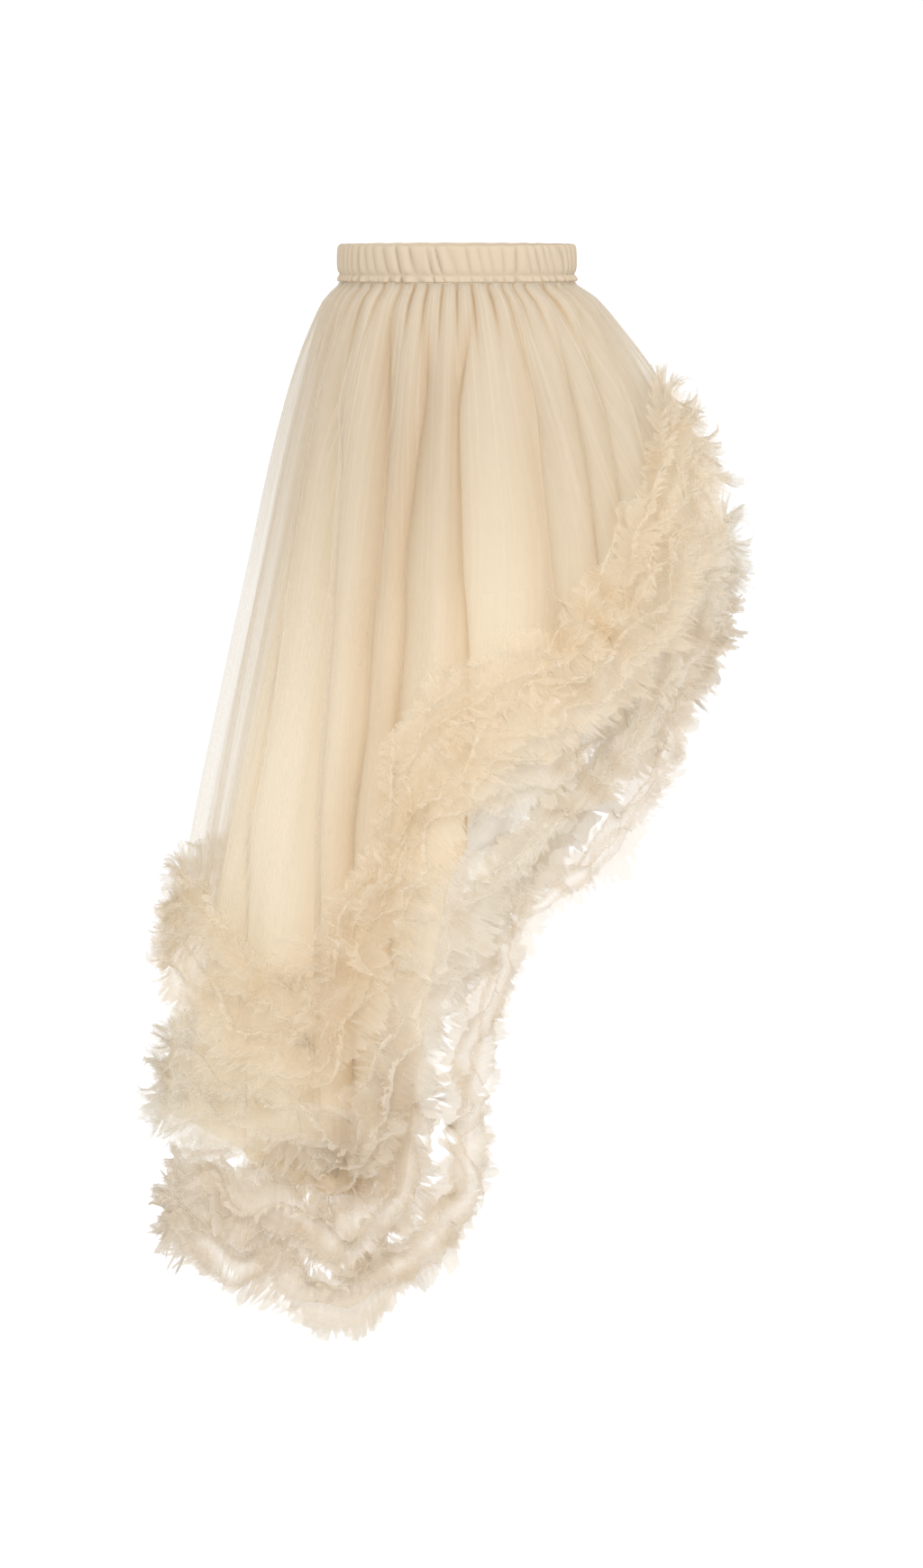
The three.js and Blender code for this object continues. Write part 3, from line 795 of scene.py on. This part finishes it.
def frill_strip(spec, frills, ply):
    """One ply of a gathered strip. Across it, from its gathering line to each raw edge, it leans out of
    the cloth by an angle that wanders along the row. Folds grow from the line to the edges, as a sine
    along the row in the strip's own square direction, with half as much sway along the row at twice
    the rate. Each side of the line has its own noise, drawn afresh from one seed for every place."""
    points, run, out, thinned, length, joined = row_path(spec, frills.sample)
    lean_start, lean_spread, width_share = FRILL_PLIES[ply]
    seed = spec["seed"] + PLY_SEED_STEP * ply
    rng = np.random.default_rng(seed)
    count = len(points)
    up = np.cross(out, run)
    folds = max(3, int(round(length / frills.fold_length)))
    clusters = max(3, int(length / frills.cluster))
    pace = 1 + 0.45 * smooth_noise(count, max(3, folds // 3), rng, joined)
    phase = np.cumsum(pace)
    phase = phase / phase[-1] * folds * 2 * np.pi
    turns = max(3, int(length / WANDER_LENGTH))
    wander = PLY_WANDERS[ply] * smooth_noise(count, turns, rng, joined) * thinned[0]
    points = points + up * wander[:, None]
    end = np.ones(count)
    if not joined:
        from_end = np.minimum(np.arange(count), np.arange(count)[::-1]) * frills.sample
        end = END_SHARE + (1 - END_SHARE) * ease_between(0, END_LENGTH, from_end)
    columns = []
    for t in STRIP_ACROSS:
        r = abs(t)
        noise = np.random.default_rng(seed + (10 if t > 0 else 11))
        lean_at = lean_start + lean_spread * smooth_noise(count, clusters, noise, joined)
        lean = np.radians(np.clip(lean_at, 3, 86)) * (0.15 + 0.85 * r)
        wide = spec["wide"] * width_share * end * (1 + 0.34 * smooth_noise(count, clusters, noise, joined))
        wide = wide * thinned[0] * (1 if ply == 0 else thinned[1])
        wide = wide * (1 + 0.10 * smooth_noise(count, clusters * 4, noise, joined))
        sway = frills.sway * smooth_noise(count, clusters, noise, joined) * r
        twist = 1.5 * smooth_noise(count, clusters, noise, joined) * r
        tall = frills.fold_height * (0.7 + 0.45 * smooth_noise(count, clusters, noise, joined))
        down = -1 if t > 0 else 1
        away = up * (down * np.cos(lean))[:, None] + out * np.sin(lean)[:, None]
        square = out * np.cos(lean)[:, None] - up * (down * np.sin(lean))[:, None]
        puff = frills.puff * r * smooth_noise(count, clusters * 2, noise, joined)
        height = ((0.4 + tall * r**1.3) * np.sin(phase + twist) + puff) * end
        slide = sway + 0.5 * tall * r * np.sin(2 * phase + twist)
        rim = points + away * (wide * r)[:, None]
        columns.append(rim + square * height[:, None] + run * slide[:, None])
    grid = np.stack(columns, axis=1)
    grid = keep_off_cloth(grid, points, out)
    facing = soft_facing(grid, out, joined)
    reach = np.abs(STRIP_ACROSS)
    shown = np.ones(len(reach)) if ply == 0 else ease_between(0.0, 0.6, reach)
    sparse = 1 - thinned[1][:, None] * shown[None, :]
    return grid, facing, painted_shade_patches(grid, reach), sparse, joined, length


def soft_facing(grid, out, joined):
    """The directions that light sees: more than half the way out of the cloth and the rest the strip's
    own, averaged over a few folds, as light scattered in fine net blurs them. Where the strip itself
    is turned away, they follow it."""
    across = np.gradient(grid, axis=1)
    if joined:
        along = np.roll(grid, -1, axis=0) - np.roll(grid, 1, axis=0)
    else:
        along = np.gradient(grid, axis=0)
    own = unit(np.cross(across, along))
    total = np.cumsum(np.pad(own, ((12, 11), (0, 0), (0, 0)), mode="wrap" if joined else "edge"), axis=0)
    blurred = unit(total[23:] - total[:-23])
    blurred = np.concatenate([blurred, blurred[-1:]])[: len(grid)]
    turned_out = np.clip((own * out[:, None]).sum(axis=-1, keepdims=True) / 0.3, -1, 1)
    facing = unit(0.4 * blurred + 0.6 * turned_out * out[:, None])
    agreed = (facing * own).sum(axis=-1, keepdims=True)
    return unit(facing + own * np.maximum(0, 0.5 - agreed))


def painted_shade_patches(grid, reach):
    """Painted shade on a frill, from 0 to 1: most near the gathering line, and in soft blotches that are
    products of sine waves through space, standing for the shade in the ruffle's deep holes."""
    x, y, z = np.moveaxis(grid, -1, 0)
    aside = np.sin(x / 17 + 2.1 * np.sin(z / 29))
    upward = np.sin(z / 14 + 1.7 * np.sin(x / 23))
    wave = aside * upward * np.sin(y / 21 + 1)
    return np.clip(0.3 * (1 - reach) ** 1.5 + 0.9 * np.maximum(0, wave) + 0.1, 0, 1)


def keep_off_cloth(grid, points, out):
    """Points that would pass through the cloth are brought back over it. Past the free distance they
    near the last one as an exponential, and never pass it."""
    over = ((grid - points[:, None]) * out[:, None]).sum(axis=2)
    low = -1.0
    eased = np.where(over < low + 2, low + 2 * np.exp(np.minimum(0, (over - low - 2) / 2)), over)
    far = np.maximum(0, eased - FREE_STAND)
    eased = eased - far + LAST_STAND * (1 - np.exp(-far / LAST_STAND))
    return grid + out[:, None] * (eased - over)[..., None]


def waistband_points():
    """The elastic casing. Round the waist it is puffed between slanted gathers, and pinched at the
    stitched line below its elastic. Its section is a closed loop: down the outside, up the inside."""
    rng = np.random.default_rng(41)
    count = BAND_COLUMNS
    turn = np.linspace(0, 2 * np.pi, count, endpoint=False)[:, None]
    z, base, puff = np.array(BAND_OUTSIDE + BAND_INSIDE).T[:, None, :]
    warp = 1.1 * ring_noise(count, 17, rng) + 0.8 * ring_noise(count, 41, rng)
    slant = 0.55 * ring_noise(count, 29, rng) + 0.35
    uneven = 0.7 + 0.45 * ring_noise(count, 47, rng)
    wave = np.sin(BAND_GATHERS * turn / 2 + warp + slant * z / 9)
    lump = (np.abs(wave) ** 0.75 - 0.55) * 3.4 * uneven
    small = 0.45 * np.sin(63 * turn + 2 * warp) * np.where(z < PINCHED_HEIGHT, 1.6, 0.5)
    lift = base + puff * (lump + small)
    c, s = np.cos(turn), np.sin(turn)
    normal = unit(np.stack([c / WAIST_HALF_WIDTH, s / WAIST_HALF_DEPTH, 0 * c], axis=-1))
    ring = np.stack([WAIST_HALF_WIDTH * c + 0 * z, WAIST_HALF_DEPTH * s + 0 * z, z + 0 * c], axis=-1)
    sag = 0.35 * np.sin(BAND_GATHERS * turn / 2 + warp)
    ring[..., 2] += sag * np.where(np.abs(z) > BAND_EDGE, 0.6, 0.0)
    # Painted shade in the valleys between the puffs, weaker where the section puffs less
    hollow = np.clip(0.75 - 1.1 * (lump + 1.5) / 3.0, 0, 1) ** 1.5 * np.minimum(1, puff)
    return ring + normal * lift[..., None], lift, hollow


def stitch_points(lift):
    """Short stitches along the pinched line: each a small four-sided spindle."""
    turn = np.linspace(0, 2 * np.pi, STITCHES, endpoint=False)
    around = np.linspace(0, 2 * np.pi, lift.shape[0], endpoint=False)
    long = np.array([-1.1, -0.7, 0.7, 1.1])
    thick = np.array([0.05, 0.3, 0.3, 0.05])
    radius = np.sqrt((WAIST_HALF_WIDTH * np.sin(turn)) ** 2 + (WAIST_HALF_DEPTH * np.cos(turn)) ** 2)
    at = turn[:, None] + long[None, :] / radius[:, None]
    over = np.interp(at % (2 * np.pi), around, lift[:, PINCHED_LEVEL]) + 0.25
    c, s = np.cos(at), np.sin(at)
    normal = unit(np.stack([c / WAIST_HALF_WIDTH, s / WAIST_HALF_DEPTH, 0 * c], axis=-1))
    centre = np.stack([WAIST_HALF_WIDTH * c, WAIST_HALF_DEPTH * s, PINCHED_HEIGHT + 0 * c], axis=-1)
    centre = centre + normal * over[..., None]
    rise = np.array([0.0, 0.0, 1.0])
    ring = [(1, 0), (0, 1), (-1, 0), (0, -1)]
    corners = [centre + thick[None, :, None] * (a * normal + b * rise) for a, b in ring]
    return np.stack(corners, axis=2)


def stitches_object(name, corners, material):
    """All stitches in one mesh: four rings of four corners each, closed at both ends."""
    count = len(corners)
    one = []
    for k in range(3):
        for m in range(4):
            beside = (m + 1) % 4
            one.append((4 * k + m, 4 * k + beside, 4 * k + 4 + beside, 4 * k + 4 + m))
    one += [(3, 2, 1, 0), (12, 13, 14, 15)]
    faces = (np.arange(count)[:, None, None] * 16 + np.array(one)[None]).reshape(-1, 4)
    mesh = bpy.data.meshes.new(name)
    mesh.from_pydata((corners.reshape(-1, 3) * MM).tolist(), [], faces.tolist())
    mesh.materials.append(material)
    mesh.update()
    piece = bpy.data.objects.new(name, mesh)
    bpy.context.scene.collection.objects.link(piece)
    return piece


def add_layer(name, piece_name, node, material, folds):
    """Makes one layer, hangs it from the root, and hides the solid that it replaces."""
    points, drop, hollow = net_layer(name, folds)
    piece = surface_object(piece_name, points, layer_uv(name, drop), True, [material], {"hollow": hollow})
    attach(piece, "root")
    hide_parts(node)


class SKIRT_OT_net_layers(bpy.types.Operator):
    """Makes the gathered net layers"""

    bl_idname = "skirt.net_layers"
    bl_label = "Net layers"

    def execute(self, context):
        look, folds = context.scene.skirt_look, context.scene.skirt_folds
        for name, (repeats, cover) in NET_LOOKS.items():
            material = net_material(f"{name}_net", look, repeats, cover)
            add_layer(name, f"net_{name}", f"tulle_{name}", material, folds)
        return {"FINISHED"}


class SKIRT_OT_lining(bpy.types.Operator):
    """Makes the lining"""

    bl_idname = "skirt.lining"
    bl_label = "Lining"

    def execute(self, context):
        look, folds = context.scene.skirt_look, context.scene.skirt_folds
        colours = (look.lining[:], look.lining_shade[:])
        material = woven_material("lining_weave", (1400, 900, 1.0), (0.15, 0.0003), colours, 0.15)
        add_layer("lining", "lining_cloth", "lining", material, folds)
        return {"FINISHED"}


class SKIRT_OT_frills(bpy.types.Operator):
    """Makes the rows of frill"""

    bl_idname = "skirt.frills"
    bl_label = "Frills"

    def execute(self, context):
        look, frills = context.scene.skirt_look, context.scene.skirt_frills
        for spec in FRILL_ROWS:
            plies, area = [], 0.0
            cover = look.long_cover if spec["layer"] == "long" else look.frill_cover
            colour = getattr(look, f"{spec['layer']}_frill")[:]
            shade = getattr(look, f"{spec['layer']}_frill_shade")[:]
            for ply in range(len(FRILL_PLIES)):
                grid, facing, frill_painted_shade, sparse, joined, length = frill_strip(spec, frills, ply)
                area += spread_area(grid, joined)
                if ply == 0:
                    net_name = f"{spec['node']}_net"
                    material = frill_material(net_name, look, length * MM, colour, shade, cover)
                strips = len(grid) if joined else len(grid) - 1
                uv = grid_uv(strips, grid.shape[1])
                # The frill's painted shade goes in as a mesh value
                values = {"hollow": frill_painted_shade, "sparse": sparse}
                plies.append(surface_object(f"ply_{ply}", grid, uv, joined, [material], values, facing))
            piece = joined_surfaces(spec["node"].replace("frill", "ruffle"), plies)
            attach(piece, "root")
            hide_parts(spec["node"])
        return {"FINISHED"}


class SKIRT_OT_waistband(bpy.types.Operator):
    """Makes the gathered elastic casing and its stitches"""

    bl_idname = "skirt.waistband"
    bl_label = "Waistband"

    def execute(self, context):
        look = context.scene.skirt_look
        points, lift, hollow = waistband_points()
        loop = np.concatenate([points, points[:, :1]], axis=1)
        hollow = np.concatenate([hollow, hollow[:, :1]], axis=1)
        uv = grid_uv(len(loop), loop.shape[1])
        colours = (look.band[:], look.band_shade[:])
        material = woven_material("band_weave", (900, 60, 2.0), (0.25, 0.0004), colours, 0.1, sheen=0.1)
        piece = surface_object("casing", loop, uv, True, [material], {"hollow": hollow})
        weld = piece.modifiers.new("close the section", "WELD")
        weld.merge_threshold = 0.00001
        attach(piece, "root")
        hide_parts("waistband")
        stitches = stitches_object("casing_stitches", stitch_points(lift), material)
        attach(stitches, "root")
        return {"FINISHED"}


class SKIRT_OT_stage(bpy.types.Operator):
    """Makes the floor, the light and the camera"""

    bl_idname = "skirt.stage"
    bl_label = "Stage"

    def execute(self, context):
        scene = context.scene
        stage = scene.skirt_stage
        floor_height = float(cad_low.z) - stage.floor_gap
        # The sweep's section: a floor, a quarter circle and a wall behind
        bend = np.linspace(0, np.pi / 2, SWEEP_STEPS)
        curve = [(SWEEP_REACH + SWEEP_RADIUS * np.sin(a), SWEEP_RADIUS * (1 - np.cos(a))) for a in bend]
        section = [(-SWEEP_REACH, 0.0)] + curve + [(SWEEP_REACH + SWEEP_RADIUS, SWEEP_HEIGHT)]
        y, z = np.array(section).T
        x = np.array([SWEEP_REACH, -SWEEP_REACH])
        sweep = np.stack(np.broadcast_arrays(x[:, None], y[None], z[None] + floor_height), axis=-1)
        sweep = sweep * MM_A_METRE
        material, tree, output = fresh_material("paper")
        paper = tree.nodes.new("ShaderNodeBsdfPrincipled")
        paper.inputs["Base Color"].default_value = (0.95, 0.95, 0.95, 1)
        paper.inputs["Roughness"].default_value = 0.9
        paper.inputs["Emission Color"].default_value = (1, 1, 1, 1)
        paper.inputs["Emission Strength"].default_value = stage.paper
        tree.links.new(paper.outputs["BSDF"], output.inputs["Surface"])
        material.cycles.emission_sampling = "NONE"
        floor = surface_object("floor", sweep, grid_uv(1, len(section)), False, [material])
        floor.visible_diffuse = False
        floor.visible_transmission = False
        world = bpy.data.worlds.new("white")
        world.use_nodes = True
        world.node_tree.nodes["Background"].inputs["Color"].default_value = (1, 1, 1, 1)
        world.node_tree.nodes["Background"].inputs["Strength"].default_value = stage.around
        world.cycles.sampling_method = "NONE"
        scene.world = world
        for name, place, size in LIGHTS:
            light = bpy.data.lights.new(name, "AREA")
            light.energy = getattr(stage, name)
            light.size = size
            lamp = bpy.data.objects.new(name, light)
            lamp.location = place
            lamp.rotation_euler = (VIEW_CENTRE - Vector(place)).to_track_quat("-Z", "Y").to_euler()
            scene.collection.objects.link(lamp)
        lens = bpy.data.cameras.new("camera")
        camera = bpy.data.objects.new("camera", lens)
        camera.location = (VIEW_CENTRE.x, -stage.distance, stage.camera_height)
        sight = VIEW_CENTRE - camera.location
        camera.rotation_euler = sight.to_track_quat("-Z", "Y").to_euler()
        lens.sensor_width = FILM_SIZE
        lens.lens = FILM_SIZE * sight.length / (VIEW_ROWS * PIXEL)
        lens.clip_end = 100
        scene.collection.objects.link(camera)
        scene.camera = camera
        scene.view_settings.view_transform = "Standard"
        scene.cycles.transparent_max_bounces = 256
        return {"FINISHED"}


class SKIRT_PT_pieces(bpy.types.Panel):
    """Shows the skirt's settings and the buttons that make its pieces"""

    bl_label = "Skirt"
    bl_idname = "SKIRT_PT_pieces"
    bl_space_type = "VIEW_3D"
    bl_region_type = "UI"
    bl_category = "Skirt"

    def draw(self, context):
        for setting in GROUPS:
            group = getattr(context.scene, setting)
            box = self.layout.box()
            for name in group.bl_rna.properties.keys():
                if name not in ("rna_type", "name"):
                    box.prop(group, name)
        for operator in OPERATORS:
            self.layout.operator(operator.bl_idname)


OPERATORS = (
    SKIRT_OT_waistband,
    SKIRT_OT_lining,
    SKIRT_OT_net_layers,
    SKIRT_OT_frills,
    SKIRT_OT_stage,
)
GROUPS = {
    "skirt_folds": SkirtFolds,
    "skirt_frills": SkirtFrills,
    "skirt_look": SkirtLook,
    "skirt_stage": SkirtStage,
}


def register():
    """Adds the settings, the operators and the panel."""
    for name, group in GROUPS.items():
        bpy.utils.register_class(group)
        setattr(bpy.types.Scene, name, bpy.props.PointerProperty(type=group))
    for item in (*OPERATORS, SKIRT_PT_pieces):
        bpy.utils.register_class(item)


def unregister():
    """Takes them away again."""
    for item in (SKIRT_PT_pieces, *reversed(OPERATORS)):
        bpy.utils.unregister_class(item)
    for name, group in GROUPS.items():
        delattr(bpy.types.Scene, name)
        bpy.utils.unregister_class(group)


def main():
    register()
    bpy.ops.skirt.waistband()
    bpy.ops.skirt.lining()
    bpy.ops.skirt.net_layers()
    bpy.ops.skirt.frills()
    bpy.ops.skirt.stage()


if __name__ == "__main__":
    main()
